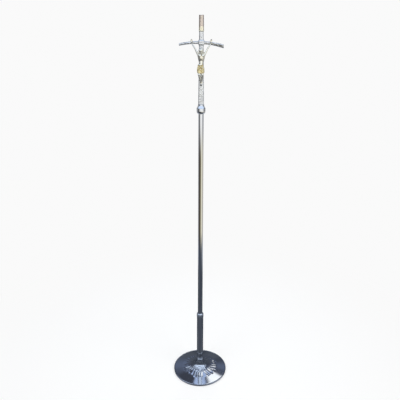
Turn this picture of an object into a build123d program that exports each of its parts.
from build123d import *
import math
import os

# Processional cross standing in its foot.  Millimetres, +Z up, origin at the centre of the foot on the floor,
# the figure faces -Y and the crossbar runs along X.

# Overall sizes
total_height = 1880.0
base_diameter = 292.0
cross_length = 384.0
bar_span = 197.0
bar_drop = 114.0
head_height = 27.0

# Clearances
seat_gap = 0.1
thread_gap = 0.05
running_gap = 0.08
loose_gap = 0.5
cast_gap = 1.0
cut_gap = 0.2

# Foot
shell_wall = 1.5
shell_lift = 0.6
skirt_height = 9.2
skirt_inset = 1.0
rim_bead = 2.2
dish_rise = 7.5
dish_radius = 92.0
neck_height = 74.0
felt_thickness = 1.5
plate_thickness = 2.5
access_radius = 26.0
plate_screw_circle = 80.0
plate_screw_radius = 2.5
plate_screw_head = 4.6
plate_screw_depth = 7.0
hub_radius = 34.0
hub_height = 30.0
hub_floor = 16.0
seat_depth = 6.0

# Socket
socket_wall = 1.8
bush_space = 3.0
socket_top = 371.0
plug_length = 26.0
collar_height = 23.0
collar_flange = 4.0
collar_wall = 0.6
collar_dome = 5.0
collar_line_drop = 10.0
collar_line = 0.3
mouth_bevel = 0.8
bush_length = 30.0
pad_thickness = 4.0

# Foot bolt, M12
bolt_radius = 6.0
bolt_flats = 19.0
bolt_head = 7.5
bolt_engaged = 20.0
washer_radius = 12.0
washer_thickness = 2.5
spring_washer_thickness = 3.0

# Staff
pole_outer = 25.0
pole_wall = 1.5
foot_plug_flange = 4.0
foot_plug_length = 30.0
foot_pin_radius = 2.0
foot_pin_height = 16.0
insert_length = 32.0

# Knob and the M14 stud that joins the cross to the staff
knob_height = 42.0
knob_outer = 41.4
knob_band = 13.0
stud_radius = 7.0
stud_engaged = 16.5
stud_in_cross = 30.0
thread_spare = 3.5
head_washer_thickness = 1.5
stud_pin_radius = 1.5
stud_pin_height = 16.0

# Cross
upright_foot_width = 26.5
upright_foot_depth = 20.0
upright_tip_width = 18.6
upright_tip_depth = 15.0
upright_corner = 5.5
boss_margin = 3.2
boss_height = 26.0
boss_corner = 5.0
bar_depth = 10.0
bar_middle = 12.5
bar_left_end = 10.5
bar_right_end = 16.5
bar_left_droop = 8.8
bar_right_droop = 16.0
bar_edge = 2.5
bar_screw_radius = 3.0
bar_screw_head = 5.5

# Title plate
title_height = 68.0
title_thickness = 1.2
title_wrap = 2.0
title_roll = 2.4
rivet_radius = 1.5
rivet_head = 2.6
rivet_inset = 11.0
rivet_grip = 4.0
upright_below_title = 1.5

# Figure, in head heights: (sideways, forward, up) from the middle of the crossbar
hand_nail_out = 42.0
nail_radius = 1.5
nail_head = 2.7
nail_grip = 6.0
foot_nail_radius = 1.8
foot_nail_head = 3.0
figure_screw_radius = 2.0
figure_screw_head = 3.8
figure_screw_bite = 6.0

ON_BASE = (Align.CENTER, Align.CENTER, Align.MIN)

# Radii of the tubes: the socket is sized by the pole, with room for the bushes between them
pole_radius = pole_outer / 2
pole_bore = pole_radius - pole_wall
socket_bore = pole_radius + bush_space
socket_radius = socket_bore + socket_wall

# Levels up the foot
base_radius = base_diameter / 2
felt_top = felt_thickness
plate_top = felt_top + plate_thickness
tube_seat = hub_height - seat_depth
plug_top = tube_seat + plug_length
pad_top = plug_top + pad_thickness
tube_top = socket_top - collar_flange

# Levels up the staff
pole_bottom = pad_top + foot_plug_flange
upright_bottom = total_height - cross_length
upright_top = total_height - upright_below_title
knob_bottom = upright_bottom - knob_height
pole_top = knob_bottom - head_washer_thickness
stud_bottom = pole_top - stud_engaged
bar_z = total_height - bar_drop
title_bottom = total_height - title_height


def disc(radius, low, high):
    return Pos(0, 0, low) * Cylinder(radius, high - low, align=ON_BASE)


def ring(outer, inner, low, high):
    return disc(outer, low, high) - disc(inner, low, high)


def turned(*edges):
    """Solid of revolution about Z from the closed (radius, height) outline that the edges make."""
    return revolve(Plane.XZ * make_face(Curve() + list(edges)), Axis.Z)


def rod_y(x, z, radius, front, back):
    """Round rod along Y between two depths."""
    return Plane((x, back, z), z_dir=(0, -1, 0)) * Cylinder(radius, back - front, align=ON_BASE)


def countersunk_y(x, z, radius, head, front, back):
    """Countersunk screw driven in from behind: its flat head is at back and its tip at front."""
    cone = Plane((x, back, z), z_dir=(0, -1, 0)) * Cone(head, radius, head - radius, align=ON_BASE)
    return rod_y(x, z, radius, front, back) + cone


def domed_y(x, z, radius, head, seat, back):
    """Nail or rivet driven in from the front: the underside of its low dome is at depth seat."""
    dome = Pos(x, seat, z) * Sphere(head)
    dome &= Pos(x, seat - head / 4, z) * Box(3 * head, head / 2, 3 * head)
    return rod_y(x, z, radius, seat, back) + dome


# ---------------------------------------------------------------- foot

def dish_edges(inset):
    """Dish and trumpet of the foot from the neck out to the rim, moved inwards by inset along the surface."""
    rim_radius = base_radius - skirt_inset - inset
    rim_height = skirt_height + shell_wall - inset
    shoulder = skirt_height + shell_wall + dish_rise - inset
    neck = socket_radius + seat_gap + shell_wall - inset
    lean = inset * math.sqrt(0.5)
    waist = Vector(neck + inset + 16.0 - lean, neck_height * 0.46 - lean)
    flare = Spline(
        (neck, neck_height), waist, (dish_radius, shoulder),
        tangents=[(0, -1), (1, -0.12)],
    )
    dish = Line((dish_radius, shoulder), (rim_radius, rim_height))
    return flare, dish, neck, rim_radius, rim_height


def trumpet(inset, low):
    """Everything below the dish surface, down to the height low."""
    flare, dish, neck, rim_radius, rim_height = dish_edges(inset)
    sides = Polyline((rim_radius, rim_height), (rim_radius, low), (0, low), (0, neck_height), (neck, neck_height))
    return turned(flare, dish, sides)


def base_shell():
    shell = trumpet(0, shell_lift)
    shell += Pos(0, 0, skirt_height) * Torus(base_radius - rim_bead, rim_bead)
    shell -= trumpet(shell_wall, shell_lift - 1)
    return shell - disc(socket_radius + seat_gap, 0, neck_height + 1)


def plate_screw_places():
    return PolarLocations(plate_screw_circle, 3)


def base_weight():
    top = trumpet(shell_wall + cast_gap, plate_top)
    inner_rim = base_radius - 2 * rim_bead - cast_gap
    top &= disc(inner_rim, plate_top, hub_height)
    shoulder = skirt_height + dish_rise - cast_gap
    hub = Pos(0, 0, shoulder) * Cone(dish_radius / 2, hub_radius, hub_height - shoulder, align=ON_BASE)
    top &= disc(inner_rim, plate_top, shoulder) + hub
    top -= disc(socket_radius + seat_gap, tube_seat, hub_height)
    top -= disc(bolt_radius + loose_gap, plate_top, tube_seat)
    top -= disc(washer_radius + 3, plate_top, hub_floor)
    for place in plate_screw_places():
        top -= place * disc(plate_screw_radius, plate_top, plate_top + plate_screw_depth)
    return top


def base_plate():
    plate = ring(base_radius - 2 * rim_bead - cast_gap, access_radius, felt_top, plate_top)
    for screw in base_plate_screws().solids():
        plate -= screw
    return plate


def base_plate_screws():
    sink = plate_screw_head - plate_screw_radius
    screw = disc(plate_screw_radius, felt_top, plate_top + plate_screw_depth - cast_gap)
    screw += Pos(0, 0, felt_top) * Cone(plate_screw_head, plate_screw_radius, sink, align=ON_BASE)
    return Compound([place * screw for place in plate_screw_places()])


def base_felt():
    return ring(base_radius - 2 * rim_bead - cast_gap, access_radius, 0, felt_top)


def foot_washer():
    return ring(washer_radius, bolt_radius + loose_gap, hub_floor - washer_thickness, hub_floor)


def foot_spring_washer():
    top = hub_floor - washer_thickness
    washer = ring(bolt_radius + 4, bolt_radius + seat_gap, top - spring_washer_thickness, top)
    slit = Pos(bolt_radius + 2, 0, top) * Rot(25, 0, 0) * Box(6, 1.2, 12)
    return washer - slit


def foot_bolt():
    under_head = hub_floor - washer_thickness - spring_washer_thickness
    tip = tube_seat + bolt_engaged
    shank = disc(bolt_radius - thread_gap, under_head, tip)
    shank = chamfer(shank.edges().sort_by(Axis.Z)[-1], 1.0)
    head = Pos(0, 0, under_head - bolt_head) * extrude(
        RegularPolygon(bolt_flats / 2, 6, major_radius=False), bolt_head)
    return shank + head


# ---------------------------------------------------------------- socket

def socket_tube():
    return ring(socket_radius, socket_bore, tube_seat, tube_top)


def socket_plug():
    plug = disc(socket_bore, tube_seat, plug_top)
    return plug - disc(bolt_radius, tube_seat, tube_seat + bolt_engaged + 2)


def socket_collar():
    """Turned collar over the end of the socket tube: a plain sleeve with one turned line, and a domed top
    that closes in to the staff."""
    low = socket_top - collar_height
    sleeve = socket_radius + seat_gap
    outer = sleeve + collar_wall
    bore = pole_radius + loose_gap
    mouth = bore + mouth_bevel
    shoulder = socket_top - collar_dome
    line_low = socket_top - collar_line_drop
    wall = Polyline(
        (outer, low), (outer, line_low), (outer - collar_line, line_low + collar_line),
        (outer - collar_line, line_low + 3 * collar_line), (outer, line_low + 4 * collar_line),
        (outer, shoulder))
    bow = collar_dome * (1 - math.sqrt(0.5))
    dome = ThreePointArc((outer, shoulder), (outer - bow, socket_top - bow), (mouth, socket_top))
    inside = Polyline(
        (mouth, socket_top), (bore, socket_top - mouth_bevel), (bore, tube_top), (sleeve, tube_top),
        (sleeve, low), (outer, low))
    return turned(wall, dome, inside)


def upper_bush():
    return ring(socket_bore, pole_radius + running_gap, tube_top - bush_length, tube_top)


def lower_bush():
    return ring(socket_bore, pole_radius + running_gap, pole_bottom, pole_bottom + bush_length)


def socket_pad():
    pad = disc(socket_bore - loose_gap, plug_top, pad_top)
    return fillet(pad.edges(), 0.6)


# ---------------------------------------------------------------- staff

def foot_pin():
    reach = math.sqrt(pole_radius**2 - foot_pin_radius**2) - seat_gap
    pin = Cylinder(foot_pin_radius, 2 * reach)
    return Pos(0, 0, pole_bottom + foot_pin_height) * Rot(0, 90, 0) * pin


def foot_pin_hole():
    hole = Cylinder(foot_pin_radius, 2 * pole_outer)
    return Pos(0, 0, pole_bottom + foot_pin_height) * Rot(0, 90, 0) * hole


def pole_tube():
    return ring(pole_radius, pole_bore, pole_bottom, pole_top) - foot_pin_hole()


def pole_foot_plug():
    flange = disc(pole_radius, pad_top, pole_bottom)
    flange = chamfer(flange.edges().sort_by(Axis.Z)[0], 2.0)
    plug = flange + disc(pole_bore, pole_bottom, pole_bottom + foot_plug_length)
    return plug - foot_pin_hole()


def pole_head_insert():
    insert = disc(pole_bore, pole_top - insert_length, pole_top)
    return insert - disc(stud_radius, stud_bottom - thread_spare, pole_top)


def head_washer():
    return ring(pole_radius, stud_radius + loose_gap, pole_top, knob_bottom)


# ---------------------------------------------------------------- cross

def knob():
    """Turned knob: round belly, narrow band, and a hollow shoulder that runs up to the upright."""
    widest = knob_outer / 2
    low = knob_bottom
    belly = low + 0.32 * knob_height
    band = belly + knob_band
    neck = upright_foot_width / 2 + 0.8
    outline = [
        Spline((pole_radius + 0.8, low), (widest, belly), tangents=[(1, 0.35), (0, 1)]),
        Line((widest, belly), (widest, band - 1.5)),
        ThreePointArc((widest, band - 1.5), (widest - 0.45, band - 0.45), (widest - 1.5, band)),
        Spline((widest - 1.5, band), (neck, upright_bottom), tangents=[(-0.4, 1), (-0.1, 1)]),
        Polyline((neck, upright_bottom), (stud_radius + seat_gap, upright_bottom)),
        Polyline((stud_radius + seat_gap, upright_bottom), (stud_radius + seat_gap, low), (pole_radius + 0.8, low)),
    ]
    return turned(*outline)


def upright_size(z):
    """Width and depth of the tapering upright at the height z."""
    share = (z - upright_bottom) / (upright_top - upright_bottom)
    width = upright_foot_width + share * (upright_tip_width - upright_foot_width)
    depth = upright_foot_depth + share * (upright_tip_depth - upright_foot_depth)
    return width, depth


def upright_body(gap, low, high):
    """Tapering rounded bar between two heights, grown by gap all round."""
    sections = []
    for z in (low, high):
        width, depth = upright_size(z)
        face = RectangleRounded(width + 2 * gap, depth + 2 * gap, upright_corner + gap)
        sections.append(Plane.XY.offset(z) * face)
    return loft(sections)


def bar_body(gap):
    """Arched crossbar, grown by gap all round: the two ends droop and differ in thickness."""
    left = -bar_span / 2 - gap
    right = bar_span / 2 + gap
    left_low = -bar_left_droop - bar_left_end / 2 - gap
    left_high = -bar_left_droop + bar_left_end / 2 + gap
    right_low = -bar_right_droop - bar_right_end / 2 - gap
    right_high = -bar_right_droop + bar_right_end / 2 + gap
    half = bar_middle / 2 + gap
    outline = Curve() + [
        ThreePointArc((left, left_high), (0, half), (right, right_high)),
        Line((right, right_high), (right, right_low)),
        ThreePointArc((right, right_low), (0, -half), (left, left_low)),
        Line((left, left_low), (left, left_high)),
    ]
    face = Plane.XZ.offset(-bar_depth / 2 - gap) * make_face(outline)
    return Pos(0, 0, bar_z) * extrude(face, bar_depth + 2 * gap)


def upright():
    body = upright_body(0, upright_bottom, upright_top)
    body -= bar_body(seat_gap)
    body -= disc(stud_radius, upright_bottom, upright_bottom + stud_in_cross)
    body -= stud_pin()
    body -= bar_screw()
    for hole in title_rivets().solids() + figure_screws().solids():
        body -= hole
    return body - foot_nail()


def crossbar():
    bar = fillet(bar_body(0).edges(), bar_edge)
    bar -= bar_screw()
    for nail in hand_nails().solids():
        bar -= nail
    return bar


def junction_boss():
    """Rounded knuckle around the crossing of the upright and the crossbar."""
    width, depth = upright_size(bar_z)
    block = Box(width + 2 * boss_margin, depth + 2 * boss_margin, boss_height)
    boss = Pos(0, 0, bar_z) * fillet(block.edges(), boss_corner)
    boss -= upright_body(seat_gap, bar_z - boss_height, bar_z + boss_height)
    boss -= bar_body(seat_gap)
    return boss - bar_screw()


def boss_back():
    return upright_size(bar_z)[1] / 2 + boss_margin


def bar_screw():
    return countersunk_y(0, bar_z, bar_screw_radius, bar_screw_head, -bar_depth / 4, boss_back())


def head_stud():
    stud = disc(stud_radius - thread_gap, stud_bottom, upright_bottom + stud_in_cross - 1)
    stud = chamfer(stud.edges().filter_by(GeomType.CIRCLE), 1.0)
    return stud - stud_pin()


def stud_pin():
    z = upright_bottom + stud_pin_height
    back = upright_size(z)[1] / 2 - seat_gap
    return rod_y(0, z, stud_pin_radius, -stud_radius / 2, back)


# ---------------------------------------------------------------- title plate

def title_plate():
    """Blank plate bent round the tip of the upright, its lower edge rolled forward."""
    outer = upright_body(seat_gap + title_thickness, title_bottom, total_height)
    wrap = Pos(0, title_wrap - upright_foot_depth, title_bottom) * Box(
        2 * upright_foot_width, 2 * upright_foot_depth, title_height, align=ON_BASE)
    plate = outer & wrap
    width, depth = upright_size(title_bottom)
    roll_y = -depth / 2 - title_roll / 2
    roll = Pos(0, roll_y, title_bottom + title_roll) * Rot(0, 90, 0) * Cylinder(title_roll, width)
    plate += roll
    plate -= upright_body(seat_gap, title_bottom - 1, total_height + 1)
    for rivet in title_rivets().solids():
        plate -= rivet
    return plate


def title_rivets():
    rivets = []
    for z in (total_height - rivet_inset, title_bottom + rivet_inset):
        face = upright_size(z)[1] / 2 + seat_gap + title_thickness
        rivets.append(domed_y(0, z, rivet_radius, rivet_head, -face - seat_gap, rivet_grip - face))
    return Compound(rivets)


# ---------------------------------------------------------------- figure

def landmark(side, forward, up):
    """Point of the figure, in head heights from the front of the upright at the middle of the crossbar."""
    front = -upright_size(bar_z - 2 * head_height)[1] / 2
    return Vector(side * head_height, front - forward * head_height, bar_z + up * head_height)


def limb(*joints):
    """Round limb through (landmark, radius) joints: a ball at each joint and a tapered run between them."""
    solids = []
    for point, radius in joints:
        solids.append(Pos(*point) * Sphere(1.04 * radius * head_height))
    for (start, thick), (end, thin) in zip(joints, joints[1:]):
        run = end - start
        cone = Cone(thick * head_height, thin * head_height + 0.01, run.length, align=ON_BASE)
        solids.append(Plane(start, z_dir=run) * cone)
    return solids


def trunk(*sections):
    """Loft through (landmark, half width, half depth) ovals."""
    faces = []
    for point, wide, deep in sections:
        oval = Ellipse(wide * head_height, deep * head_height)
        faces.append(Plane(point, x_dir=(1, 0, 0), z_dir=(0, 0, 1)) * oval)
    return loft(faces)


def hand_point(side, up):
    return Vector(side * hand_nail_out, -bar_depth / 2 - 0.13 * head_height, bar_z + up * head_height)


def arm(side):
    return limb(
        (landmark(side * 0.53, 0.30, -1.80), 0.19),
        (landmark(side * 1.04, 0.22, -0.85), 0.145),
        (hand_point(side, -0.12), 0.10),
        (hand_point(side * 1.04, 0.30), 0.13),
        (hand_point(side * 1.07, 0.62), 0.075),
    )


def leg(hip, knee, ankle, toe):
    return limb((hip, 0.31), (knee, 0.24), (ankle, 0.14), (toe, 0.12))


def figure():
    """Plain outer form of the cast figure: head, trunk, cloth, arms raised to the bar, crossed feet."""
    torso = trunk(
        (landmark(-0.02, 0.30, -1.62), 0.40, 0.24),
        (landmark(0.00, 0.34, -1.95), 0.58, 0.35),
        (landmark(0.02, 0.36, -2.45), 0.50, 0.34),
        (landmark(0.00, 0.30, -3.00), 0.38, 0.27),
        (landmark(-0.08, 0.32, -3.55), 0.48, 0.32),
    )
    cloth = trunk(
        (landmark(-0.09, 0.33, -3.45), 0.56, 0.36),
        (landmark(-0.10, 0.42, -4.10), 0.62, 0.44),
        (landmark(-0.10, 0.50, -4.75), 0.60, 0.46),
    )
    head = limb((landmark(-0.02, 0.34, -1.75), 0.20), (landmark(-0.04, 0.66, -1.30), 0.40))
    near_leg = leg(
        landmark(-0.32, 0.38, -3.95), landmark(-0.42, 0.66, -4.98),
        landmark(-0.13, 0.19, -6.30), landmark(-0.07, 0.14, -6.85),
    )
    far_leg = leg(
        landmark(0.20, 0.38, -3.95), landmark(0.26, 0.68, -4.98),
        landmark(0.13, 0.33, -6.25), landmark(0.04, 0.36, -6.82),
    )
    body = torso + cloth
    for solid in [*head, *arm(-1), *arm(1), *near_leg, *far_leg]:
        body += solid
    body -= upright_body(cut_gap, title_bottom - title_height * 5, upright_top)
    body -= bar_body(cut_gap)
    for hole in hand_nails().solids() + figure_screws().solids():
        body -= hole
    return body - foot_nail()


def hand_nails():
    seat = -bar_depth / 2 - 0.27 * head_height
    nails = []
    for side in (-1, 1):
        z = bar_z + 0.02 * head_height
        nails.append(domed_y(side * hand_nail_out, z, nail_radius, nail_head, seat, nail_grip - bar_depth / 2))
    return Compound(nails)


def foot_nail():
    place = landmark(0.0, 0.50, -6.62)
    grip = -upright_size(place.Z)[1] / 2 + nail_grip
    return domed_y(place.X, place.Z, foot_nail_radius, foot_nail_head, place.Y, grip)


def figure_screws():
    screws = []
    for up in (-2.2, -3.8):
        place = landmark(0, 0, up)
        width, depth = upright_size(place.Z)
        screws.append(countersunk_y(
            0, place.Z, figure_screw_radius, figure_screw_head, place.Y - figure_screw_bite, depth / 2 - seat_gap))
    return Compound(screws)


pieces = {
    "base_shell": base_shell(),
    "base_weight": base_weight(),
    "base_plate": base_plate(),
    "base_plate_screws": base_plate_screws(),
    "base_felt": base_felt(),
    "foot_bolt": foot_bolt(),
    "foot_washer": foot_washer(),
    "foot_spring_washer": foot_spring_washer(),
    "socket_tube": socket_tube(),
    "socket_plug": socket_plug(),
    "socket_collar": socket_collar(),
    "upper_bush": upper_bush(),
    "lower_bush": lower_bush(),
    "socket_pad": socket_pad(),
    "pole_tube": pole_tube(),
    "pole_foot_plug": pole_foot_plug(),
    "pole_foot_pin": foot_pin(),
    "pole_head_insert": pole_head_insert(),
    "head_washer": head_washer(),
    "knob": knob(),
    "head_stud": head_stud(),
    "stud_pin": stud_pin(),
    "upright": upright(),
    "junction_boss": junction_boss(),
    "crossbar": crossbar(),
    "crossbar_screw": bar_screw(),
    "title_plate": title_plate(),
    "title_rivets": title_rivets(),
    "figure": figure(),
    "hand_nails": hand_nails(),
    "foot_nail": foot_nail(),
    "figure_screws": figure_screws(),
}

os.makedirs("parts", exist_ok=True)
for name, shape in pieces.items():
    export_step(shape, f"parts/{name}.step")
